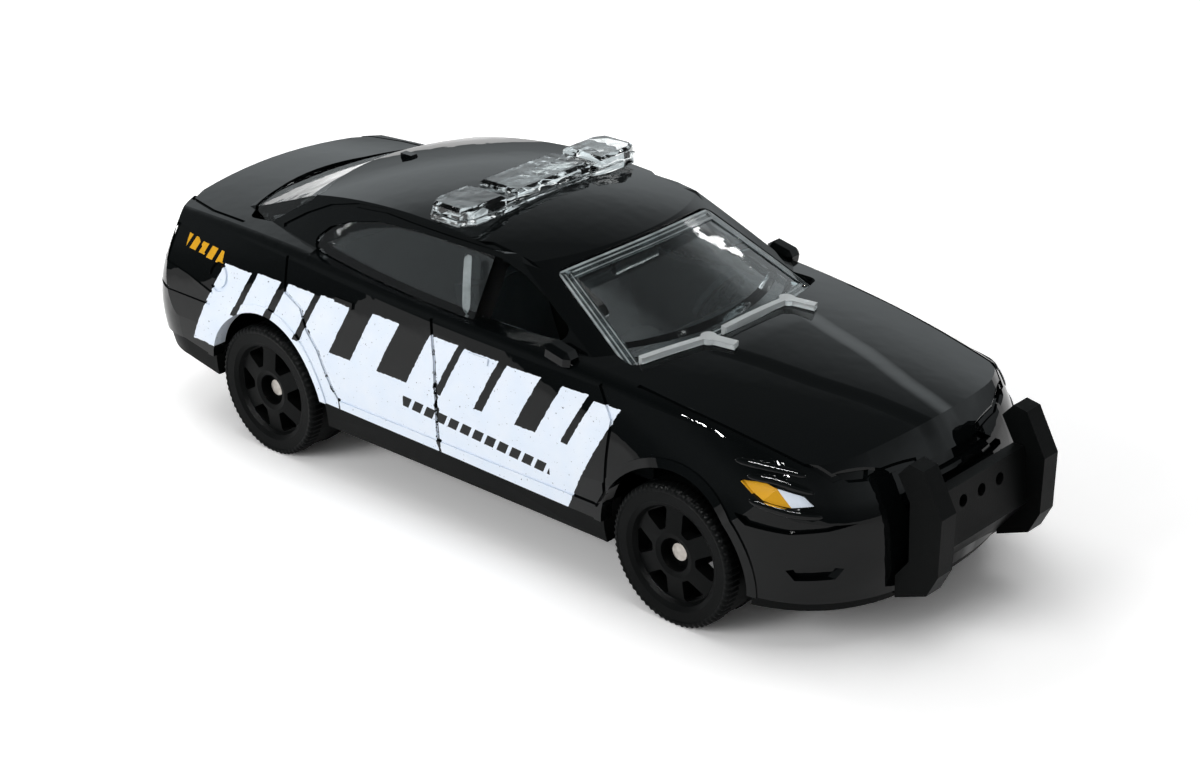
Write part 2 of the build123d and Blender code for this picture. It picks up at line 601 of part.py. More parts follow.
def base():
    """Black plastic chassis: floor, sills, bumper skirts and push bumper."""
    plan = lower_body(WALL + FIT)
    outer = lower_body(0.25)
    floor_slab = plan & side_prism(band(BASE_EDGE, FLOOR_T), -20, 20)
    skirt = outer - lower_body(WALL + FIT + 0.9)
    under = side_prism(BODY_EDGE + ((40.0, -2.0), (-40.0, -2.0)), -20, 20)
    under = Pos(0, 0, -FIT) * under
    skirt = skirt & under
    lip = plan - lower_body(WALL + FIT + 0.9)
    lip = lip & box(-50, 50, -20, 20, FLOOR_Z0, SILL_Z + 1.0)
    solid = floor_slab + skirt + lip
    lower_edge = side_prism(BASE_EDGE + ((40.0, -2.0), (-40.0, -2.0)), -20, 20)
    solid = solid - lower_edge
    solid = solid - wheel_arches(ARCH_R + 0.1, WHEEL_INNER_Y - 0.7)
    for x in (REAR_AXLE_X, FRONT_AXLE_X):
        solid = solid + saddle(x)
    for x in POST_XS:
        solid = solid + Pos(x, 0, floor_under(x) + 1.2) * Cylinder(POST_R + 0.9, 2.4)
        solid = solid - rivet_post(x, POST_R + FIT)
    for y in (-RIB_Y, RIB_Y):
        solid = solid + box(-RIB_X, RIB_X, y - 0.5, y + 0.5, FLOOR_Z0, TRAY_Z - FIT)
    x0, x1, half = SUMP
    solid = solid + box(x0, x1, -half, half, FLOOR_Z0 - 0.5, FLOOR_Z0 + FLOOR_T)
    silencer_z = floor_under(SILENCER_X) + SILENCER_R - 0.5
    silencer = cyl_y(SILENCER_X, silencer_z, SILENCER_R, -SILENCER_HALF, SILENCER_HALF)
    solid = solid + (silencer & box(-40, 0, -20, 20, 0, silencer_z))
    for y in (-PIPE_Y, PIPE_Y):
        pipe = Pos(TAIL_X + 2.6, y, floor_under(TAIL_X + 3) + 0.5) * Rot(0, 90, 0)
        solid = solid + pipe * Cylinder(PIPE_R, 4.0)
    for x in (REAR_AXLE_X, FRONT_AXLE_X):
        solid = solid - cyl_y(x, AXLE_Z, AXLE_R + RUNNING_FIT / 2, -20, 20)
    return solid + push_bumper()


def floor_under(x):
    """Height of the floor's underside at x."""
    for (x0, z0), (x1, z1) in zip(BASE_EDGE, BASE_EDGE[1:]):
        if x0 <= x <= x1:
            return z0 + (z1 - z0) * (x - x0) / (x1 - x0)
    raise ValueError("x is past the floor")


def saddle(x):
    """Block that carries an axle between the wheels."""
    block = box(x - 1.6, x + 1.6, -8.4, 8.4, FLOOR_Z0, AXLE_Z + 1.2)
    block = block - box(x - 4, x + 4, -3.4, 3.4, FLOOR_Z0 + FLOOR_T, 20)
    return block


def push_bumper():
    """Two uprights and a cross plate ahead of the nose."""
    upright = side_prism(PUSH_SIDE, PUSH_Y - PUSH_T / 2, PUSH_Y + PUSH_T / 2)
    plate = side_prism(PUSH_PLATE, -PUSH_Y, PUSH_Y)
    for y in PUSH_HOLE_YS:
        plate = plate - Pos(36, y, PUSH_HOLE_Z) * Rot(0, 90, 0) * Cylinder(PUSH_HOLE_R, 6)
    whole = upright + mirrored(upright) + plate
    return whole - (lower_body(-FIT) & box(20, 45, -20, 20, BODY_EDGE[-1][1] - FIT, 30))


def axle():
    """Steel pin with a headed end at each wheel."""
    pin = cyl_y(0, 0, AXLE_R, -PIN_END_Y + PIN_HEAD_T / 2, PIN_END_Y - PIN_HEAD_T / 2)
    for sign in (-1, 1):
        y0, y1 = sorted((sign * (PIN_END_Y - PIN_HEAD_T), sign * PIN_END_Y))
        pin = pin + cyl_y(0, 0, PIN_HEAD_R, y0, y1)
    return pin


def wheel():
    """One-piece wheel turned from a profile, outer face towards -Y, centred on its pin."""
    face, back = WHEEL_FACE_Y, WHEEL_INNER_Y
    floor = PIN_END_Y - PIN_HEAD_T - RUNNING_FIT
    bore = AXLE_R + RUNNING_FIT
    profile = (
        # radius, distance from the car's middle
        (bore, floor), (RECESS_R, floor), (RECESS_R, face - 0.45), (HUB_R, face - 0.35),
        (3.55, face - 0.6), (3.75, face - 0.25), (4.1, face - 0.05), (4.85, face),
        (WHEEL_R, face - 0.4), (WHEEL_R, back + 0.4), (4.85, back), (4.0, back),
        (4.0, DISC_BACK_Y), (HUB_R, DISC_BACK_Y), (HUB_R, back), (bore, back),
    )
    outline = make_face(Polyline(*[(r, -y, 0) for r, y in profile], close=True))
    whole = revolve(outline, Axis.Y, 360)
    return whole - [Rot(0, 360 / WINDOWS * k, 0) * window() for k in range(WINDOWS)]


def window():
    """Rounded triangular window between two spokes, its narrow end by the hub."""
    (r0, r1), (w0, w1) = WINDOW_R, WINDOW_HALF
    face = make_face(Polyline((r0, 0, -w0), (r1, 0, -w1), (r1, 0, w1), (r0, 0, w0), close=True))
    face = fillet(face.vertices(), 0.25)
    return Pos(0, -WHEEL_FACE_Y - 1, 0) * extrude(face, amount=4, dir=(0, 1, 0))


def write(name, shape):
    """Export one node and print what it holds."""
    bb = shape.bounding_box()
    low, high = bb.min, bb.max
    print("%-16s solids %d  volume %8.1f  x %.2f..%.2f  y %.2f..%.2f  z %.2f..%.2f" % (
        name, len(shape.solids()), shape.volume, low.X, high.X, low.Y, high.Y, low.Z, high.Z))
    export_step(shape, "parts/%s.step" % name)


def main():
    os.makedirs("parts", exist_ok=True)
    write("body_shell", body_shell())
    write("glazing", glazing())
    write("interior", interior())
    write("base", base())
    turned = wheel()
    for end, x in (("rear", REAR_AXLE_X), ("front", FRONT_AXLE_X)):
        write("axle_" + end, Pos(x, 0, AXLE_Z) * axle())
        write("wheel_%s_right" % end, Pos(x, 0, AXLE_Z) * turned)
        write("wheel_%s_left" % end, Pos(x, 0, AXLE_Z) * mirrored(turned))


if __name__ == "__main__":
    main()
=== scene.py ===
"""Looks of a pocket-size die-cast toy police saloon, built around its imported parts.

Metres, +X forward, +Y to the car's left, +Z up, origin on the floor between the axles.
Patterns are laid out in millimetres on Object coordinates.
"""
import math

import bpy
import numpy as np
from mathutils import Matrix, Vector


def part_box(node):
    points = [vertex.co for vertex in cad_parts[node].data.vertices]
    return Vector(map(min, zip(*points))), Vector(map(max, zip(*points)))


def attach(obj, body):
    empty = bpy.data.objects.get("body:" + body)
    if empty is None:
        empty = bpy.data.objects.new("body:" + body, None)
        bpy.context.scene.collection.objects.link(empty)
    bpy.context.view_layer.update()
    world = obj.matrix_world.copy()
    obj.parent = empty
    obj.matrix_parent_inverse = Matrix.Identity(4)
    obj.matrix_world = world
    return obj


bl_info = {
    "name": "Toy Police Saloon",
    "version": (1, 0, 0),
    "blender": (4, 5, 0),
    "location": "3D View > Sidebar > Toy Saloon",
    "description": "Finishes, fittings and studio for a die-cast toy police saloon",
    "category": "Object",
}

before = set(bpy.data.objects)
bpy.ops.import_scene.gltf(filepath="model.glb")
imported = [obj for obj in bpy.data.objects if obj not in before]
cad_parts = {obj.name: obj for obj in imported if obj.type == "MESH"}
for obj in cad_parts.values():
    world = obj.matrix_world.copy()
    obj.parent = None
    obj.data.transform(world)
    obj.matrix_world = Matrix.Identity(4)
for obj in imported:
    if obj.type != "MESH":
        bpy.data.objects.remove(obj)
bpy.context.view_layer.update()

MM = 0.001
CAR = "car"
WHEELS = ("wheel_front_right", "wheel_front_left", "wheel_rear_right", "wheel_rear_left")
HANDS = {"left": 1, "right": -1}

MATH = "ShaderNodeMath"
NOISE = "ShaderNodeTexNoise"
RANGE = "ShaderNodeMapRange"
BUMP = "ShaderNodeBump"
LESS, MORE = "LESS_THAN", "GREATER_THAN"

# ------------------------------------------------------------------ livery, millimetres
LEAN = 0.52               # how far the bars lean forward for each unit of height
LEAN_Z = 12.0             # height at which a bar's place is measured
BAR_GAP_Z = 10.8          # top of the plain white field between the bars
BARS = (                  # from, to, top of each leaning bar
    (-27.6, -24.4, 14.5), (-23.7, -20.9, 14.7), (-20.0, -16.9, 14.8), (-16.2, -12.9, 14.9),
    (-10.5, -7.5, 15.0), (-4.3, -1.3, 15.0), (-0.6, 2.9, 14.9), (3.7, 6.9, 14.8),
    (9.0, 11.4, 14.7), (12.1, 14.5, 14.4),
)
BARS_SIDE = 12.5          # the white print lies further than this from the middle
REAR_FIELD = (-21.0, 7.5)  # behind this x the white field stays above this z
DOOR_LINES = (            # z, x of the joints that the print doesn't bridge
    ((7.1, -1.6), (10.3, -1.6), (13.3, -1.9), (16.2, -2.7)),
    ((7.1, -12.6), (7.9, -13.2), (10.6, -14.7), (11.9, -16.0), (13.4, -16.9), (14.1, -18.8),
     (16.7, -19.3)),
)
# A row of dashes: height of its middle at x = 0 and its fall for each unit of x, half its
# height, its two ends, and the pitch of the dashes with the share of it that is filled.
DARK_DASHES = {"height": 8.95, "fall": 0.06, "half": 0.42, "start": -5.2, "end": 9.9,
               "pitch": 1.3, "filled": 0.72}
AMBER_DASHES = {"height": 13.7, "fall": 0.04, "half": 0.5, "start": -31.7, "end": -26.7,
                "pitch": 1.25, "filled": 0.62}
AMBER_SIDE = 11.6         # the amber dashes lie further than this from the middle
LAMP_SIDE = 8.5           # and the headlamps further than this
# upper and lower edge of a headlamp: x, z
LAMP_TOP = ((26.6, 12.45), (28.2, 12.65), (29.4, 12.4), (30.8, 11.95), (31.4, 11.4))
LAMP_FOOT = ((26.6, 12.4), (27.7, 11.9), (29.1, 11.45), (30.2, 11.25), (31.4, 11.35))
# where a headlamp turns from amber to white: x, the z of that x, and x for each unit of z
LAMP_SPLIT_X, LAMP_SPLIT_Z, LAMP_SPLIT_LEAN = 29.7, 11.85, -0.85
# where a bonnet crease runs: x, distance from the middle
HOOD_CREASE = ((15.0, 5.1), (21.0, 3.7), (25.0, 3.0), (29.0, 1.9), (33.0, 1.2))
HOOD_CREASE_HALF = 0.9    # half the width over which the bonnet steps down at a crease
HOOD_CREASE_FADE = (15.0, 19.0)  # the step grows between these places

# ------------------------------------------------------------------ raised lines and glazing, millimetres
BEAD = (0.30 * MM, 0.16 * MM, 4)  # half width and height of a raised line, and how
                                  # late it thins towards its ends
BEADS = {                 # x, distance from the middle, z
    "lamp_brow": ((25.6, 12.3, 13.5), (28.0, 11.8, 13.5), (30.6, 10.9, 13.3)),
    "lamp_lid": ((26.9, 12.7, 12.9), (28.8, 12.1, 12.9), (31.2, 10.9, 12.2)),
    "lamp_foot": ((27.6, 13.3, 11.5), (30.3, 12.2, 10.9), (32.0, 10.9, 10.7)),
}
PANE_SECTION = (0.38 * MM, 0.05 * MM, 20)  # the same three for the edge of a side pane
PANE_EDGE = ((-1.75, 9.9, 20.5), (-0.9, 10.9, 18.4), (0.0, 11.9, 16.5))
PANE_ACROSS = 0.42        # takes its clearness from this place on the rim
SCREEN_RADIUS = 14.2      # of the level circles that the windscreen is made of
SCREEN_LOW, SCREEN_TOP = (17.8, 16.0), (6.3, 21.3)  # x, z in the middle, on the body
SCREEN_SLOPE = (SCREEN_TOP[1] - SCREEN_LOW[1]) / (SCREEN_LOW[0] - SCREEN_TOP[0])
SCREEN_INSET = 0.13       # how deep the glass lies in the opening
WIPERS_FROM = 17.72       # over this, with the glass's slope taken out, it is a wiper
ROOF_BAR_FROM = (22.3, 22.5)  # the light bar's facets set in between these heights
RIM_WIDTH = 0.95          # of the strip of painted edge light inside the windscreen's opening
# x in the middle of an edge of the rim, x and y at its corner
RIM_LOW, RIM_TOP = (16.6, 14.5, 10.1), (6.8, 5.6, 8.1)
RIM_LIFT = (0.07, 0.02)   # upper and lower face over the glass
RIM_CLEAR = (             # share of the width inwards, how clear the edge is there; where it is less clear the painted edge light shows
    (0.0, 0.25), (0.14, 0.25), (0.2, 1.0), (0.34, 1.0), (0.38, 0.45), (0.46, 0.45), (0.5, 1.0),
    (0.74, 1.0), (0.78, 0.55), (0.84, 0.55), (0.88, 1.0), (1.0, 1.0),
)

# ------------------------------------------------------------------ stage, metres
FLOOR_HALF = 2.5          # half the side of the sheet of paper
FLOOR_SEEN, FLOOR_LIT = 1.3, 0.8  # its tone where it is seen, and where it sends light on
FLOOR_FAR = (0.12, 0.30)  # between these distances it turns to plain white
WORLD_GLOW = 0.35         # light of the world on the car
PANELS = {                # place, size and watts of each soft panel
    "key_panel": ((-0.15, -0.48, 0.22), 0.30, 1.75),
    "back_panel": ((-0.42, 0.12, 0.34), 0.34, 1.1),
    "top_panel": ((0.05, 0.05, 0.60), 0.50, 1.1),
}
# strip of small lamps: its place and size, the pitch of its lamps and how strong they are
STRIP_MIDDLE, STRIP_LENGTH, STRIP_WIDTH = (0.06, -0.19, 0.29), 0.34, 0.016
STRIP_PITCH, STRIP_GLOW = 0.0085, 320.0
# glare on the windscreen: x, y of its corners, in millimetres
GLARE = ((7.3, 4.6), (7.9, 4.0), (10.9, 6.1), (10.3, 6.7))
WINDOW_FAR, WINDOW_GLOW = 0.5, 14.0  # how far off the card that causes it is, its strength
WALLS_RADIUS, WALLS_RINGS, WALLS_SPOKES = 1.5, 24, 48
ROOM = (                  # height of a direction, glow of the room there
    (0.0, 0.24), (0.12, 0.45), (0.22, 0.9), (0.36, 1.0), (0.44, 0.85), (0.5, 0.6), (0.6, 0.36),
    (0.7, 0.16), (1.0, 0.16),
)
ROOM_THROUGH = (          # the same, seen out through clear plastic
    (0.0, 1.0), (0.2, 0.6), (0.4, 0.6), (0.5, 1.2), (0.62, 0.3), (0.86, 0.3), (0.93, 1.3),
    (1.0, 1.3),
)
ROOM_SHADE = (-0.4, 0.3, 0.3)  # the cards fade between these sideways directions, to this


# ------------------------------------------------------------------ small helpers
def hex_rgb(code, alpha=1.0):
    """Linear colour of an sRGB hex string such as 'c8962a'."""
    parts = [int(code[i:i + 2], 16) / 255 for i in (0, 2, 4)]
    linear = [p / 12.92 if p <= 0.04045 else ((p + 0.055) / 1.055) ** 2.4 for p in parts]
    return (*linear, alpha)


def feed(tree, node, inputs):
    """Sets a node's inputs: a socket or node is linked, anything else is a plain value."""
    for key, value in inputs.items():
        if isinstance(value, bpy.types.Node):
            value = next(out for out in value.outputs if out.enabled)
        if isinstance(value, bpy.types.NodeSocket):
            tree.links.new(value, node.inputs[key])
        else:
            node.inputs[key].default_value = value


def put(tree, kind, inputs=None, **settings):
    """Adds one node, with inputs as feed() takes them, and settings as its properties."""
    node = tree.nodes.new(kind)
    for name, value in settings.items():
        setattr(node, name, value)
    feed(tree, node, inputs or {})
    return node


def blank(name):
    """Empty node material: returns it, its tree and Object coordinates."""
    mat = bpy.data.materials.new(name)
    mat.use_nodes = True
    mat.node_tree.nodes.clear()
    coords = put(mat.node_tree, "ShaderNodeTexCoord").outputs["Object"]
    return mat, mat.node_tree, coords


def finish(name, **plain):
    """Finish of a piece: returns its material, tree, shader and coordinates in millimetres."""
    mat, tree, coords = blank(name)
    shader = put(tree, "ShaderNodeBsdfPrincipled",
                 {socket.replace("_", " "): value for socket, value in plain.items()})
    put(tree, "ShaderNodeOutputMaterial", {"Surface": shader})
    size = put(tree, "ShaderNodeVectorMath", {0: coords, "Scale": 1 / MM}, operation="SCALE")
    return mat, tree, shader, size


def where(tree, *tests):
    """1 where every test holds and 0 elsewhere; a test is a value, LESS or MORE, a limit."""
    held = None
    for value, comparison, limit in tests:
        test = put(tree, MATH, {0: value, 1: limit}, operation=comparison)
        if held is not None:
            test = put(tree, MATH, {0: held, 1: test}, operation="MULTIPLY")
        held = test
    return held


def traced(tree, along, points, interpolation="LINEAR"):
    """Height of a line of (place, height) points at along, flat past both ends."""
    places, heights = zip(*points)
    low, span = min(heights), max(heights) - min(heights)
    first, last = places[0], places[-1]
    spread = put(tree, RANGE, {"Value": along, "From Min": first, "From Max": last})
    ramp = put(tree, "ShaderNodeValToRGB", {"Fac": spread})
    ramp.color_ramp.interpolation = interpolation
    stops = ramp.color_ramp.elements
    stops.remove(stops[1])
    for k, (place, height) in enumerate(points):
        stop = stops[0] if k == 0 else stops.new((place - first) / (last - first))
        stop.position = (place - first) / (last - first)
        stop.color = (*[(height - low) / span] * 3, 1.0)
    return put(tree, RANGE, {"Value": ramp, "To Min": low, "To Max": low + span})


def dress(names, mat):
    """Gives carried-over CAD nodes a material."""
    for name in names:
        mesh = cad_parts[name].data
        mesh.materials.clear()
        mesh.materials.append(mat)


def grid_faces(rows, columns, closed):
    """Quads of a grid of points: each joins a point, the next row's, and their neighbours."""
    i = np.arange(rows if closed[0] else rows - 1)[:, None]
    j = np.arange(columns if closed[1] else columns - 1)[None, :]
    i1, j1 = (i + 1) % rows, (j + 1) % columns
    corners = [i * columns + j, i1 * columns + j, i1 * columns + j1, i * columns + j1]
    return np.stack(corners, axis=-1).reshape(-1, 4).tolist()


def surface(name, points, mat, body, closed=(False, False)):
    """Piece from a grid of points, shape (rows, columns, 3) in metres, facing out.

    closed says whether the rows and the columns join up end to end; a tube's ends are capped.
    """
    rows, columns = points.shape[:2]
    faces = grid_faces(rows, columns, closed)
    if closed == (False, True):
        first = list(range(columns))
        faces += [first[::-1], [(rows - 1) * columns + k for k in first]]
    mesh = bpy.data.meshes.new(name)
    mesh.from_pydata(points.reshape(-1, 3).tolist(), [], faces)
    mesh.shade_smooth()
    mesh.materials.append(mat)
    piece = bpy.data.objects.new(name, mesh)
    bpy.context.scene.collection.objects.link(piece)
    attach(piece, body)
    return piece


def mark_across(piece, shares):
    """Keeps on each point its share of the rim's width, which the thick edge's finish reads."""
    marks = piece.data.attributes.new("across", "FLOAT", "POINT")
    marks.data.foreach_set("value", shares)


# ------------------------------------------------------------------ settings
class ToyCarPaint(bpy.types.PropertyGroup):
    enamel: bpy.props.FloatVectorProperty(
        name="Enamel", description="Body enamel colour", subtype="COLOR", size=4,
        default=hex_rgb("080a0b"), min=0, max=1)
    print_white: bpy.props.FloatVectorProperty(
        name="White print", description="Side field and bars", subtype="COLOR", size=4,
        default=hex_rgb("e6ebf2"), min=0, max=1)
    print_amber: bpy.props.FloatVectorProperty(
        name="Amber print", description="Lamp and rear dashes", subtype="COLOR", size=4,
        default=hex_rgb("d19a1c"), min=0, max=1)


class ToyCarWheels(bpy.types.PropertyGroup):
    teeth: bpy.props.IntProperty(
        name="Tread teeth", description="Blocks round each tyre shoulder", default=68, min=8)
    tooth_depth: bpy.props.FloatProperty(
        name="Tooth depth", description="Height of the tread blocks", unit="LENGTH",
        subtype="DISTANCE", default=0.12 * MM)


class ToyCarStage(bpy.types.PropertyGroup):
    azimuth: bpy.props.FloatProperty(
        name="Azimuth", description="Camera bearing about the vertical", subtype="ANGLE",
        default=math.radians(43.69))
    elevation: bpy.props.FloatProperty(
        name="Elevation", description="Camera height angle", subtype="ANGLE",
        default=math.radians(24.7))
    roll: bpy.props.FloatProperty(
        name="Roll", description="Camera roll", subtype="ANGLE", default=math.radians(-1.84))
    distance: bpy.props.FloatProperty(
        name="Distance", description="Camera distance", subtype="DISTANCE", unit="LENGTH",
        default=0.2025)
    offset_right: bpy.props.FloatProperty(
        name="Offset right", description="Camera offset to its right", subtype="DISTANCE",
        unit="LENGTH", default=1.01 * MM)
    offset_up: bpy.props.FloatProperty(
        name="Offset up", description="Camera offset upwards", subtype="DISTANCE",
        unit="LENGTH", default=6.82 * MM)
    lens: bpy.props.FloatProperty(
        name="Lens", description="Focal length for a 36 mm sensor", subtype="DISTANCE_CAMERA",
        default=77.94)


# ------------------------------------------------------------------ finishes
def dash_row(tree, x, z, lean, row):
    """1 inside the dashes of a row that falls towards the front, 0 elsewhere."""
    middle = put(tree, MATH, {0: x, 1: row["fall"], 2: -row["height"]},
                 operation="MULTIPLY_ADD")
    off = put(tree, MATH, {0: z, 1: middle}, operation="ADD")
    off = put(tree, MATH, {0: off}, operation="ABSOLUTE")
    phase = put(tree, MATH, {0: lean, 1: row["pitch"]}, operation="DIVIDE")
    phase = put(tree, MATH, {0: phase}, operation="FRACT")
    return where(tree, (off, LESS, row["half"]), (x, MORE, row["start"]),
                 (x, LESS, row["end"]), (phase, LESS, row["filled"]))


def side_print(tree, size, x, side, z, lean):
    """White field with its leaning bars, cracked along the door joints and a little worn."""
    # uneven edge of the pad print: 0.06 mm over 0.4 mm
    edge = put(tree, NOISE, {"Vector": size, "Scale": 2.5, "Detail": 2.0})
    ragged = put(tree, RANGE, {"Value": edge, "To Min": -0.1, "To Max": 0.1})
    place = put(tree, MATH, {0: lean, 1: ragged}, operation="ADD")
    first, last = BARS[0][0], BARS[-1][1]
    steps = [(first - 1.0, 0.0)]
    for start, end, top in BARS:
        steps += [(start, top), (end, BAR_GAP_Z)]
    steps[-1:] = [(last, 0.0), (last + 1.0, 0.0)]
    top = traced(tree, place, steps, "CONSTANT")
    height = put(tree, MATH, {0: z, 1: ragged}, operation="ADD")
    white = where(tree, (height, LESS, top), (side, MORE, BARS_SIDE))
    cut = where(tree, (x, LESS, REAR_FIELD[0]), (height, LESS, REAR_FIELD[1]))
    white = put(tree, MATH, {0: white, 1: cut}, operation="SUBTRACT", use_clamp=True)

    # the print cracks along the door joints: a line 0.1 to 0.4 mm to each side
    crack = put(tree, NOISE, {"Vector": size, "Scale": 0.9, "Detail": 5.0, "Roughness": 0.7})
    width = put(tree, RANGE, {"Value": crack, "From Min": 0.48, "From Max": 0.7,
                              "To Min": 0.08, "To Max": 0.38})
    for points in DOOR_LINES:
        away = put(tree, MATH, {0: x, 1: traced(tree, z, points)}, operation="SUBTRACT")
        away = put(tree, MATH, {0: away}, operation="ABSOLUTE")
        keep = where(tree, (away, MORE, width))
        white = put(tree, MATH, {0: white, 1: keep}, operation="MULTIPLY")

    # pinholes and scuffs in the print, 0.1 to 0.3 mm
    pits = put(tree, NOISE, {"Vector": size, "Scale": 5.0, "Detail": 3.0, "Roughness": 0.6})
    sound = where(tree, (pits, LESS, 0.69))
    white = put(tree, MATH, {0: white, 1: sound}, operation="MULTIPLY")

    # a run of short dark dashes along the field
    dashes = dash_row(tree, x, z, lean, DARK_DASHES)
    return put(tree, MATH, {0: white, 1: dashes}, operation="SUBTRACT", use_clamp=True)


def headlamp_print(tree, x, side, z):
    """Two masks of the headlamp, which is amber behind a leaning line and white before it."""
    lamp = where(tree, (x, MORE, LAMP_TOP[0][0]), (side, MORE, LAMP_SIDE),
                 (z, LESS, traced(tree, x, LAMP_TOP)), (z, MORE, traced(tree, x, LAMP_FOOT)),
                 (x, LESS, LAMP_TOP[-1][0]))
    slope = put(tree, MATH, {0: z, 1: LAMP_SPLIT_Z}, operation="SUBTRACT")
    slope = put(tree, MATH, {0: slope, 1: -LAMP_SPLIT_LEAN, 2: x}, operation="MULTIPLY_ADD")
    front = where(tree, (slope, MORE, LAMP_SPLIT_X))
    white = put(tree, MATH, {0: lamp, 1: front}, operation="MULTIPLY")
    amber = put(tree, MATH, {0: lamp, 1: white}, operation="SUBTRACT")
    return amber, white


def enamel_on_zinc(paint):
    """Sprayed enamel over die-cast zinc, tampo-printed in white and amber.

    Enamel gives a deep black with a wet gloss and faint orange peel; the pad print is a
    thin, slightly duller skin that breaks at the joints.
    """
    mat, tree, shader, size = finish(
        "enamel_sprayed_on_diecast_zinc", IOR=1.42, Specular_IOR_Level=0.25)
    x, y, z = put(tree, "ShaderNodeSeparateXYZ", {0: size}).outputs
    side = put(tree, MATH, {0: y}, operation="ABSOLUTE")
    above = put(tree, MATH, {0: z, 1: LEAN_Z}, operation="SUBTRACT")
    lean = put(tree, MATH, {0: above, 1: -LEAN, 2: x}, operation="MULTIPLY_ADD")

    white = side_print(tree, size, x, side, z, lean)
    marks = dash_row(tree, x, z, lean, AMBER_DASHES)
    outer = where(tree, (side, MORE, AMBER_SIDE))
    marks = put(tree, MATH, {0: marks, 1: outer}, operation="MULTIPLY")
    lamp_amber, lamp_white = headlamp_print(tree, x, side, z)
    white = put(tree, MATH, {0: white, 1: lamp_white}, operation="MAXIMUM")
    amber = put(tree, MATH, {0: marks, 1: lamp_amber}, operation="MAXIMUM")
    printed = put(tree, MATH, {0: white, 1: amber}, operation="MAXIMUM")

    # enamel tone drifts a little over 8 mm
    drift = put(tree, NOISE, {"Vector": size, "Scale": 0.12, "Detail": 3.0})
    deep = put(tree, "ShaderNodeMix", {"Factor": drift, "A": hex_rgb("050707"),
                                       "B": paint.enamel}, data_type="RGBA")
    # painted glints: light grey specks, about 0.2 mm, some 6 mm apart, standing in for highlights on the
    # enamel
    glint_cells = put(tree, "ShaderNodeTexVoronoi", {"Vector": size, "Scale": 0.17})
    painted_glint = where(tree, (glint_cells.outputs["Distance"], LESS, 0.016))
    glinted = put(tree, "ShaderNodeMix", {"Factor": painted_glint, "A": deep.outputs["Result"],
                                         "B": hex_rgb("9aa2a4")}, data_type="RGBA")
    # the white print is bluish and thins out in patches
    thin = put(tree, NOISE, {"Vector": size, "Scale": 0.5, "Detail": 4.0})
    whites = put(tree, "ShaderNodeMix", {"Factor": thin, "A": hex_rgb("d5e2f2"),
                                         "B": paint.print_white}, data_type="RGBA")
    base = put(tree, "ShaderNodeMix", {"Factor": white, "A": glinted.outputs["Result"],
                                       "B": whites.outputs["Result"]}, data_type="RGBA")
    base = put(tree, "ShaderNodeMix", {"Factor": amber, "A": base.outputs["Result"],
                                       "B": paint.print_amber}, data_type="RGBA")
    rough = put(tree, RANGE, {"Value": printed, "To Min": 0.02, "To Max": 0.32})

    # orange peel 1.4 mm across, bonnet creases, and the print's own thickness
    peel = put(tree, NOISE, {"Vector": size, "Scale": 0.7, "Detail": 1.0})
    peeled = put(tree, BUMP, {"Height": peel, "Strength": 0.5, "Distance": 0.02 * MM})
    across = put(tree, MATH, {0: side, 1: traced(tree, x, HOOD_CREASE)},
                 operation="SUBTRACT")
    ridge = put(tree, RANGE, {"Value": across, "From Min": -HOOD_CREASE_HALF,
                              "From Max": HOOD_CREASE_HALF, "To Min": 1.0, "To Max": 0.0},
                interpolation_type="SMOOTHSTEP")
    on_hood = put(tree, RANGE, {"Value": x, "From Min": HOOD_CREASE_FADE[0],
                                "From Max": HOOD_CREASE_FADE[1]},
                  interpolation_type="SMOOTHSTEP")
    ridge = put(tree, MATH, {0: ridge, 1: on_hood}, operation="MULTIPLY")
    creased = put(tree, BUMP, {"Height": ridge, "Normal": peeled, "Strength": 1.0,
                               "Distance": 0.16 * MM})
    skinned = put(tree, BUMP, {"Height": printed, "Normal": creased, "Strength": 0.6,
                               "Distance": 0.03 * MM})
    feed(tree, shader, {"Base Color": base.outputs["Result"], "Roughness": rough,
                        "Normal": skinned})
    return mat


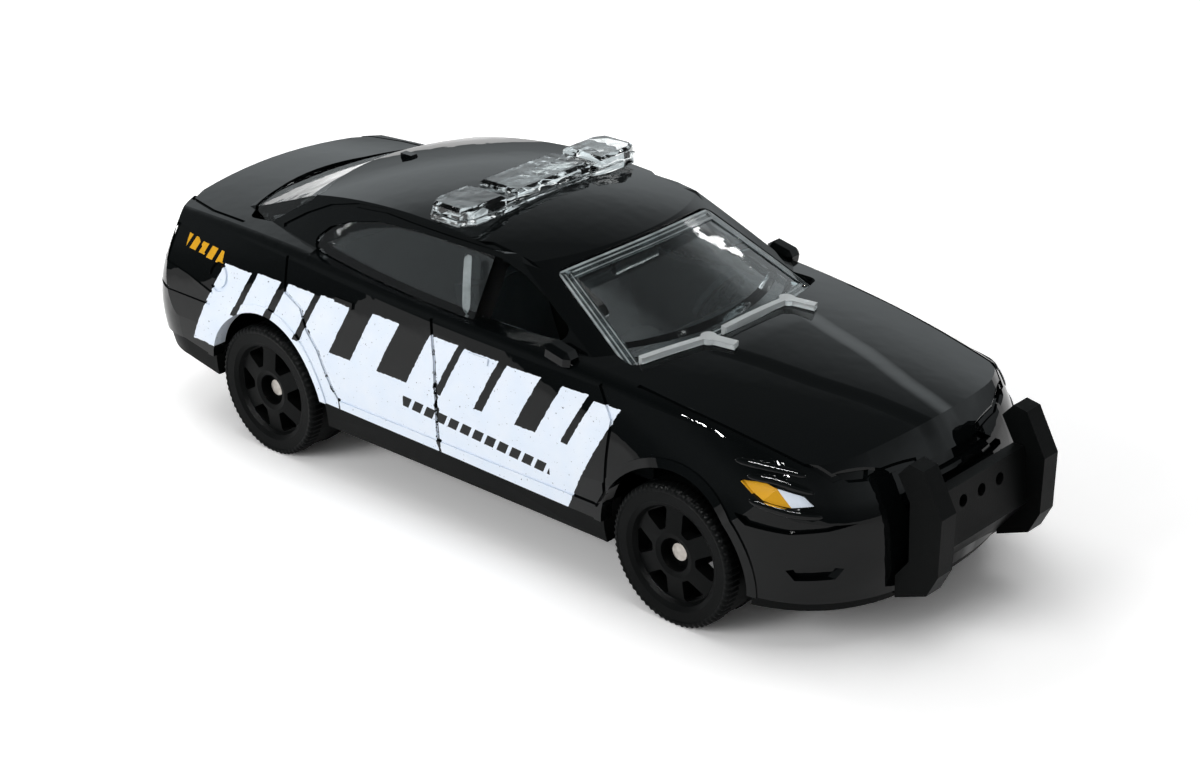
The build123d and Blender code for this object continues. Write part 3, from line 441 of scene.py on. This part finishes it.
def styrene_clear():
    """Clear polystyrene, injection moulded: bright edges, flow waves and fine scuffs."""
    mat, tree, shader, size = finish("polystyrene_clear_moulded", IOR=1.5,
                                     Base_Color=hex_rgb("f4f8f8"))
    x, y, z = put(tree, "ShaderNodeSeparateXYZ", {0: size}).outputs
    # waves 2 mm across in the panes, and 1 mm lens facets in the roof bar
    waves = put(tree, NOISE, {"Vector": size, "Scale": 0.45, "Detail": 2.0})
    bar = put(tree, RANGE, {"Value": z, "From Min": ROOF_BAR_FROM[0],
                            "From Max": ROOF_BAR_FROM[1]})
    facets = put(tree, "ShaderNodeTexVoronoi", {"Vector": size, "Scale": 0.95},
                 feature="SMOOTH_F1")
    height = put(tree, MATH, {0: facets.outputs["Distance"], 1: bar}, operation="MULTIPLY")
    wavy = put(tree, BUMP, {"Height": waves, "Strength": 0.35, "Distance": 0.05 * MM})
    ribbed = put(tree, BUMP, {"Height": height, "Normal": wavy, "Strength": 0.6,
                              "Distance": 0.15 * MM})
    scuffs = put(tree, NOISE, {"Vector": size, "Scale": 0.8, "Detail": 5.0, "Roughness": 0.7})
    rough = put(tree, RANGE, {"Value": scuffs, "From Min": 0.4, "From Max": 0.75,
                              "To Min": 0.02, "To Max": 0.1})
    # the wipers are a little milky; they stand proud of the glass, which is a level circle
    # that slides back as it rises
    square = put(tree, MATH, {0: y, 1: y}, operation="MULTIPLY")
    inside = put(tree, MATH, {0: SCREEN_RADIUS ** 2, 1: square}, operation="SUBTRACT")
    chord = put(tree, MATH, {0: inside}, operation="SQRT")
    back = put(tree, MATH, {0: x, 1: chord}, operation="SUBTRACT")
    above = put(tree, MATH, {0: back, 1: SCREEN_SLOPE, 2: z}, operation="MULTIPLY_ADD")
    proud = where(tree, (above, MORE, WIPERS_FROM))
    clear = put(tree, RANGE, {"Value": proud, "To Min": 1.0, "To Max": 0.65})
    feed(tree, shader, {"Transmission Weight": clear, "Normal": ribbed, "Roughness": rough})
    return mat


def styrene_rim():
    """The same clear polystyrene at a thick edge, with the light the edge traps painted in as milky
    lines, clear between.
    """
    mat, tree, shader, size = finish("polystyrene_clear_painted_edge_light", IOR=1.5, Roughness=0.1)
    across = put(tree, "ShaderNodeAttribute", attribute_name="across").outputs["Fac"]
    clear = traced(tree, across, RIM_CLEAR)
    # the painted trapped light comes and goes over 1 to 2 mm
    glow = put(tree, NOISE, {"Vector": size, "Scale": 0.9, "Detail": 4.0})
    tone = put(tree, "ShaderNodeMix", {"Factor": glow, "A": hex_rgb("5d686a"),
                                       "B": hex_rgb("d3dcdd")}, data_type="RGBA")
    feed(tree, shader, {"Base Color": tone.outputs["Result"], "Transmission Weight": clear})
    return mat


def moulded_abs(name, code, roughness, grain_mm):
    """ABS straight from a spark-eroded tool: even fine grain and a slightly blotchy sheen."""
    mat, tree, shader, size = finish(name, IOR=1.5, Specular_IOR_Level=0.05)
    grain = put(tree, NOISE, {"Vector": size, "Scale": 1 / grain_mm, "Detail": 3.0,
                              "Roughness": 0.6})
    blotch = put(tree, NOISE, {"Vector": size, "Scale": 0.18, "Detail": 2.0})
    rough = put(tree, RANGE, {"Value": blotch, "From Min": 0.3, "From Max": 0.7,
                              "To Min": roughness - 0.06, "To Max": roughness + 0.08})
    tone = put(tree, "ShaderNodeMix", {"Factor": blotch, "A": hex_rgb(code),
                                       "B": hex_rgb("090b0b")}, data_type="RGBA")
    bump = put(tree, BUMP, {"Height": grain, "Strength": 0.25, "Distance": 0.03 * MM})
    feed(tree, shader, {"Base Color": tone.outputs["Result"], "Roughness": rough,
                        "Normal": bump})
    return mat


def drawn_steel():
    """Bright drawn steel wire with a peened, slightly tarnished end."""
    mat, tree, shader, size = finish("steel_wire_drawn", Metallic=1.0)
    tarnish = put(tree, NOISE, {"Vector": size, "Scale": 2.4, "Detail": 4.0})
    tone = put(tree, "ShaderNodeMix", {"Factor": tarnish, "A": hex_rgb("8d857c"),
                                       "B": hex_rgb("d6d2cc")}, data_type="RGBA")
    rough = put(tree, RANGE, {"Value": tarnish, "To Min": 0.25, "To Max": 0.5})
    peened = put(tree, BUMP, {"Height": tarnish, "Strength": 0.6, "Distance": 0.08 * MM})
    feed(tree, shader, {"Base Color": tone.outputs["Result"], "Roughness": rough,
                        "Normal": peened})
    return mat


# ------------------------------------------------------------------ pieces
class TOYCAR_OT_body(bpy.types.Operator):
    """Enamels and prints the die-cast shell"""
    bl_idname = "toycar.body"
    bl_label = "Enamelled body"

    def execute(self, context):
        enamel = enamel_on_zinc(context.scene.toycar_paint)
        dress(["body_shell"], enamel)
        for name, path in BEADS.items():
            for hand, side in HANDS.items():
                surface(name + "_" + hand, bead("body_shell", path, side, BEAD), enamel, CAR,
                        closed=(False, True))
        return {"FINISHED"}


def bead(node, path, side, section):
    """Raised line along a node: an elliptic section carried along the path, whose places are
    the nearest on the node's skin, its size going down to nothing at both ends. section is
    its half width, its height and how late it thins."""
    half, rise, blunt = section
    count, around, passes = 40, 20, 12
    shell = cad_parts[node]
    steps = np.linspace(0, len(path) - 1, count)
    line = np.stack([np.interp(steps, range(len(path)), column) for column in zip(*path)],
                    axis=-1) * (MM, MM * side, MM)
    near = [shell.closest_point_on_mesh(Vector(point)) for point in line.tolist()]
    feet = np.array([hit[1] for hit in near])
    out = np.array([hit[2] for hit in near])
    for _ in range(passes):
        feet[1:-1] = (feet[:-2] + feet[1:-1] * 2 + feet[2:]) / 4
        out[1:-1] = (out[:-2] + out[1:-1] * 2 + out[2:]) / 4
    ahead = np.gradient(feet, axis=0)
    ahead /= np.linalg.norm(ahead, axis=1, keepdims=True)
    beside = np.cross(out, ahead)
    turn = np.linspace(2 * np.pi, 0, around, endpoint=False)[None, :, None]
    size = np.sqrt(1 - np.linspace(-1, 1, count) ** blunt * 0.99)[:, None, None]
    return (feet[:, None] + beside[:, None] * np.cos(turn) * half * size
            + out[:, None] * np.sin(turn) * rise * size)


class TOYCAR_OT_clear(bpy.types.Operator):
    """Finishes the clear moulding and adds the windscreen's rim and the side panes' edges, with trapped
    light painted on them
    """
    bl_idname = "toycar.clear"
    bl_label = "Clear glazing and light bar"

    def execute(self, context):
        dress(["glazing"], styrene_clear())
        painted_edge_light = styrene_rim()
        for hand, side in HANDS.items():
            # the side panes' edges carry the same painted edge light as the windscreen rim
            edge = surface("pane_edge_" + hand, bead("glazing", PANE_EDGE, side, PANE_SECTION),
                           painted_edge_light, CAR, closed=(False, True))
            mark_across(edge, np.full(len(edge.data.vertices), PANE_ACROSS, np.float32))
        points, across = windscreen_rim()
        rim = surface("windscreen_rim", points, painted_edge_light, CAR,
                      closed=(True, True))
        mark_across(rim, across.ravel())
        return {"FINISHED"}


def screen_height(x, y):
    """Height of the glass over a plan point: a level circle that slides back as it rises."""
    inset = SCREEN_INSET / math.sin(math.atan(SCREEN_SLOPE))
    middle = x - np.sqrt(SCREEN_RADIUS ** 2 - y ** 2) + SCREEN_RADIUS + inset
    return SCREEN_LOW[1] + (SCREEN_LOW[0] - middle) * SCREEN_SLOPE


def windscreen_rim():
    """Closed strip inside the windscreen opening: the outline in plan, drawn towards its
    middle by up to the strip's width and dropped onto the glass, out on the upper face and
    back on the lower. Returns its points and their share of the width."""
    t = np.linspace(-1, 1, 48)
    arcs = [np.stack([mid + (corner - mid) * t ** 2, y * t], axis=-1)
            for mid, corner, y in (RIM_LOW, RIM_TOP)]
    side = np.linspace(0, 1, 24)[1:-1, None]
    right = arcs[0][-1] * (1 - side) + arcs[1][-1] * side
    left = arcs[1][0] * (1 - side) + arcs[0][0] * side
    outline = np.concatenate([arcs[0], right, arcs[1][::-1], left])
    ahead = np.roll(outline, -1, axis=0) - np.roll(outline, 1, axis=0)
    ahead /= np.linalg.norm(ahead, axis=1, keepdims=True)
    inward = np.stack([-ahead[:, 1], ahead[:, 0]], axis=-1)
    over = np.linspace(0.0, 1.0, 25)
    share = np.concatenate([over, over[::-1]])
    lift = np.repeat(RIM_LIFT, over.size)
    plan = outline[:, None, :] + inward[:, None, :] * share[None, :, None] * RIM_WIDTH
    z = screen_height(plan[..., 0], plan[..., 1]) + lift
    points = np.concatenate([plan, z[..., None]], axis=-1) * MM
    return points, np.broadcast_to(share, plan.shape[:2]).astype(np.float32)


class TOYCAR_OT_plastics(bpy.types.Operator):
    """Finishes interior and chassis"""
    bl_idname = "toycar.plastics"
    bl_label = "Black mouldings"

    def execute(self, context):
        # painted light: the black interior is coloured grey 3a4042 to stand for the light that the lamps
        # don't send through the glazing
        dress(["interior"], moulded_abs("abs_interior_painted_light", "3a4042", 0.6, 0.12))
        dress(["base"], moulded_abs("abs_chassis_moulded", "080909", 0.42, 0.15))
        return {"FINISHED"}


class TOYCAR_OT_wheels(bpy.types.Operator):
    """Finishes the wheels, their treads and the steel axles"""
    bl_idname = "toycar.wheels"
    bl_label = "Wheels and axles"

    def execute(self, context):
        settings = context.scene.toycar_wheels
        rubbery = moulded_abs("abs_wheel_moulded", "080909", 0.42, 0.1)
        dress(WHEELS, rubbery)
        dress(["axle_front", "axle_rear"], drawn_steel())
        for name in WHEELS:
            low, high = (np.array(corner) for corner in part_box(name))
            centre = (low + high) / 2
            outward = math.copysign(1, centre[1])
            ring = tread(settings.teeth, settings.tooth_depth, (high[2] - low[2]) / 2,
                         high[1] - low[1], outward)
            surface(name + "_tread", ring + centre, rubbery, name,
                    closed=(True, True))
        return {"FINISHED"}


def tread(teeth, depth, radius, width, outward):
    """Closed ring round a tyre: a tyre-shaped outline carried round the axle, whose radius
    rises by the tooth depth over a third of every tooth on both shoulders."""
    half = width / 2
    outline = np.array([
        # share of half width, radius below the tread in mm, how far the teeth show there
        (1.00, 0.42, 0.0), (1.00, 0.22, 0.8), (0.95, 0.06, 1.0), (0.5, 0.0, 1.0),
        (0.47, 0.01, 0.0), (-0.47, 0.01, 0.0), (-0.5, 0.0, 1.0), (-0.95, 0.06, 1.0),
        (-1.00, 0.22, 0.8), (-1.00, 0.42, 0.0), (0.0, 0.6, 0.0),
    ])
    samples = 6
    turn = np.linspace(0, 2 * np.pi, teeth * samples, endpoint=False)
    phase = np.modf(turn * teeth / (2 * np.pi) + 0.25)[0]
    # low for a third of a tooth and high for a third, with a sixth for each flank
    raised = np.clip((0.5 - np.abs(phase - 0.5)) * 6 - 1, 0, 1)
    r = radius - outline[None, :, 1] * MM + raised[:, None] * outline[None, :, 2] * depth
    y = outward * half * outline[None, :, 0] + 0 * r
    return np.stack([r * np.cos(turn)[:, None] * outward, y, r * np.sin(turn)[:, None]],
                    axis=-1)


# ------------------------------------------------------------------ stage
def seen_directly(tree):
    """1 for rays from the eye, by mirror or through glass, 0 for rays that carry light."""
    path = put(tree, "ShaderNodeLightPath")
    seen = put(tree, MATH, {0: path.outputs["Is Camera Ray"],
                            1: path.outputs["Is Glossy Ray"]}, operation="MAXIMUM")
    seen = put(tree, MATH, {0: seen, 1: path.outputs["Is Transmission Ray"]},
               operation="MAXIMUM")
    return seen.outputs[0]


def set_piece(name, points, faces, mat, hidden=()):
    """Piece of the set, not of the car; hidden names the kinds of ray that miss it."""
    mesh = bpy.data.meshes.new(name)
    mesh.from_pydata([tuple(point) for point in points], [], faces)
    mesh.materials.append(mat)
    piece = bpy.data.objects.new(name, mesh)
    bpy.context.scene.collection.objects.link(piece)
    for ray in hidden:
        setattr(piece, "visible_" + ray, False)


class TOYCAR_OT_stage(bpy.types.Operator):
    """Builds floor, lamps, world and camera"""
    bl_idname = "toycar.stage"
    bl_label = "Studio"

    def execute(self, context):
        self.floor()
        self.strip()
        self.world(context.scene)
        self.walls()
        self.lamps(context.scene)
        self.camera(context.scene)
        self.window(context.scene)
        context.scene.view_settings.view_transform = "Standard"
        return {"FINISHED"}

    def floor(self):
        mat, tree, coords = blank("paper_white_coated")
        tone = put(tree, RANGE, {"Value": seen_directly(tree), "To Min": FLOOR_LIT,
                                 "To Max": FLOOR_SEEN})
        colour = put(tree, "ShaderNodeCombineColor", {0: tone, 1: tone, 2: tone})
        paper = put(tree, "ShaderNodeBsdfDiffuse", {"Color": colour})
        # far from the lamps the paper would turn grey, so there it is seen as white
        away = put(tree, "ShaderNodeVectorMath", {0: coords}, operation="LENGTH")
        far = put(tree, RANGE, {"Value": away.outputs["Value"], "From Min": FLOOR_FAR[0],
                                "From Max": FLOOR_FAR[1]}, interpolation_type="SMOOTHSTEP")
        far = put(tree, MATH, {0: far, 1: seen_directly(tree)}, operation="MULTIPLY")
        white = put(tree, "ShaderNodeEmission", {"Strength": 1.0})
        sheet = put(tree, "ShaderNodeMixShader", {0: far, 1: paper, 2: white})
        put(tree, "ShaderNodeOutputMaterial", {"Surface": sheet})
        corners = [(-FLOOR_HALF, -FLOOR_HALF, 0), (FLOOR_HALF, -FLOOR_HALF, 0),
                   (FLOOR_HALF, FLOOR_HALF, 0), (-FLOOR_HALF, FLOOR_HALF, 0)]
        set_piece("floor", corners, [(0, 1, 2, 3)], mat)

    def strip(self):
        """Row of small lamps over the near side, half of every pitch lit, on a dark strip."""
        mat, tree, coords = blank("lamp_strip_dotted")
        place = put(tree, "ShaderNodeSeparateXYZ", {0: coords})
        phase = put(tree, MATH, {0: place, 1: STRIP_PITCH}, operation="DIVIDE")
        phase = put(tree, MATH, {0: phase}, operation="FRACT")
        lit = where(tree, (phase, LESS, 0.5))
        power = put(tree, MATH, {0: lit, 1: STRIP_GLOW}, operation="MULTIPLY")
        shine = put(tree, "ShaderNodeEmission", {"Strength": power})
        put(tree, "ShaderNodeOutputMaterial", {"Surface": shine})
        middle, along = Vector(STRIP_MIDDLE), Vector((1, 0, 0))
        across = middle.cross(along).normalized()
        corners = [middle + along * a * STRIP_LENGTH / 2 + across * b * STRIP_WIDTH / 2
                   for a, b in ((-1, -1), (1, -1), (1, 1), (-1, 1))]
        set_piece("lamp_strip", corners, [(0, 1, 2, 3)], mat, hidden=("camera", "diffuse"))

    def window(self, scene):
        """Bright card whose mirror image is the glare on the windscreen: each corner lies
        where the glass sends the line of sight to the same corner of the glare."""
        mat, tree, _ = blank("card_window_bright")
        shine = put(tree, "ShaderNodeEmission", {"Strength": WINDOW_GLOW})
        put(tree, "ShaderNodeOutputMaterial", {"Surface": shine})
        eye = np.array(scene.camera.matrix_world.translation) / MM
        step = 0.01
        corners = []
        for x, y in GLARE:
            low, beside, ahead = screen_height(np.array((x, x, x + step)),
                                               np.array((y, y + step, y)))
            foot = np.array((x, y, low))
            out = np.array(((low - ahead) / step, (low - beside) / step, 1.0))
            out /= np.linalg.norm(out)
            sight = (eye - foot) / np.linalg.norm(eye - foot)
            corners.append(foot * MM + (2 * out * (out @ sight) - sight) * WINDOW_FAR)
        set_piece("window_card", corners, [(0, 1, 2, 3)], mat,
                  hidden=("camera", "diffuse", "transmission", "volume_scatter", "shadow"))

    def world(self, scene):
        world = bpy.data.worlds.new("studio")
        scene.world = world
        world.use_nodes = True
        tree = world.node_tree
        tree.nodes.clear()
        glow = put(tree, RANGE, {"Value": seen_directly(tree), "To Min": WORLD_GLOW,
                                 "To Max": 1.0})
        backdrop = put(tree, "ShaderNodeBackground", {"Color": (1, 1, 1, 1), "Strength": glow})
        put(tree, "ShaderNodeOutputWorld", {"Surface": backdrop})

    def walls(self):
        """Grey cards round the set, half a sphere that only reflections show."""
        mat, tree, coords = blank("card_grey_graded")
        way = put(tree, "ShaderNodeVectorMath", {0: coords}, operation="NORMALIZE")
        _, sideways, level = put(tree, "ShaderNodeSeparateXYZ", {0: way}).outputs
        # the cards on the car's right are darker
        dark_y, full_y, dark = ROOM_SHADE
        shade = put(tree, RANGE, {"Value": sideways, "From Min": dark_y, "From Max": full_y,
                                  "To Min": dark, "To Max": 1.0})
        through = put(tree, "ShaderNodeLightPath").outputs["Is Transmission Ray"]
        mirrored = put(tree, MATH, {0: traced(tree, level, ROOM), 1: shade},
                       operation="MULTIPLY")
        tone = put(tree, "ShaderNodeMix", {"Factor": through, "A": mirrored,
                                           "B": traced(tree, level, ROOM_THROUGH)},
                   data_type="FLOAT")
        card = put(tree, "ShaderNodeEmission", {"Color": (0.9, 0.97, 1, 1), "Strength": tone})
        put(tree, "ShaderNodeOutputMaterial", {"Surface": card})
        rise = np.linspace(0, np.pi / 2, WALLS_RINGS)[:, None]
        turn = np.linspace(0, 2 * np.pi, WALLS_SPOKES, endpoint=False)[None, :]
        points = np.stack([np.cos(rise) * np.cos(turn), np.cos(rise) * np.sin(turn),
                           np.sin(rise) + 0 * turn], axis=-1) * WALLS_RADIUS
        set_piece("walls", points.reshape(-1, 3).tolist(),
                  grid_faces(WALLS_RINGS, WALLS_SPOKES, (False, True)), mat,
                  hidden=("camera", "diffuse", "volume_scatter", "shadow"))

    def lamps(self, scene):
        for name, (place, size, watts) in PANELS.items():
            data = bpy.data.lights.new(name, "AREA")
            data.energy = watts
            data.size = size
            lamp = bpy.data.objects.new(name, data)
            scene.collection.objects.link(lamp)
            lamp.visible_glossy = False
            lamp.visible_transmission = False
            lamp.location = place
            lamp.rotation_euler = (-Vector(place)).to_track_quat("-Z", "Y").to_euler()

    def camera(self, scene):
        stage = scene.toycar_stage
        az, el, roll = stage.azimuth, stage.elevation, stage.roll
        back = np.array((math.sin(az) * math.cos(el), -math.cos(az) * math.cos(el),
                         math.sin(el)))
        level = np.array((math.cos(az), math.sin(az), 0.0))
        rise = np.cross(back, level)
        right = math.cos(roll) * level + math.sin(roll) * rise
        up = -math.sin(roll) * level + math.cos(roll) * rise
        place = back * stage.distance + right * stage.offset_right + up * stage.offset_up
        data = bpy.data.cameras.new("camera")
        data.sensor_width = 36.0
        data.sensor_fit = "HORIZONTAL"
        data.lens = stage.lens
        data.clip_start = 0.01
        camera = bpy.data.objects.new("camera", data)
        scene.collection.objects.link(camera)
        matrix = np.eye(4)
        matrix[:3, 0], matrix[:3, 1], matrix[:3, 2], matrix[:3, 3] = right, up, back, place
        camera.matrix_world = Matrix(matrix.tolist())
        scene.camera = camera


class TOYCAR_PT_panel(bpy.types.Panel):
    """Lists the car's operators"""
    bl_label = "Toy Saloon"
    bl_idname = "TOYCAR_PT_panel"
    bl_space_type = "VIEW_3D"
    bl_region_type = "UI"
    bl_category = "Toy Saloon"

    def draw(self, context):
        for operator in OPERATORS:
            self.layout.operator(operator.bl_idname)


GROUPS = {"toycar_paint": ToyCarPaint, "toycar_wheels": ToyCarWheels,
          "toycar_stage": ToyCarStage}
OPERATORS = (TOYCAR_OT_body, TOYCAR_OT_clear, TOYCAR_OT_plastics, TOYCAR_OT_wheels,
             TOYCAR_OT_stage)
CLASSES = tuple(GROUPS.values()) + OPERATORS + (TOYCAR_PT_panel,)


def register():
    for cls in CLASSES:
        bpy.utils.register_class(cls)
    for name, group in GROUPS.items():
        setattr(bpy.types.Scene, name, bpy.props.PointerProperty(type=group))


def unregister():
    for name in GROUPS:
        delattr(bpy.types.Scene, name)
    for cls in reversed(CLASSES):
        bpy.utils.unregister_class(cls)


def main():
    register()
    for operator in OPERATORS:
        group, name = operator.bl_idname.split(".")
        getattr(getattr(bpy.ops, group), name)()


if __name__ == "__main__":
    main()
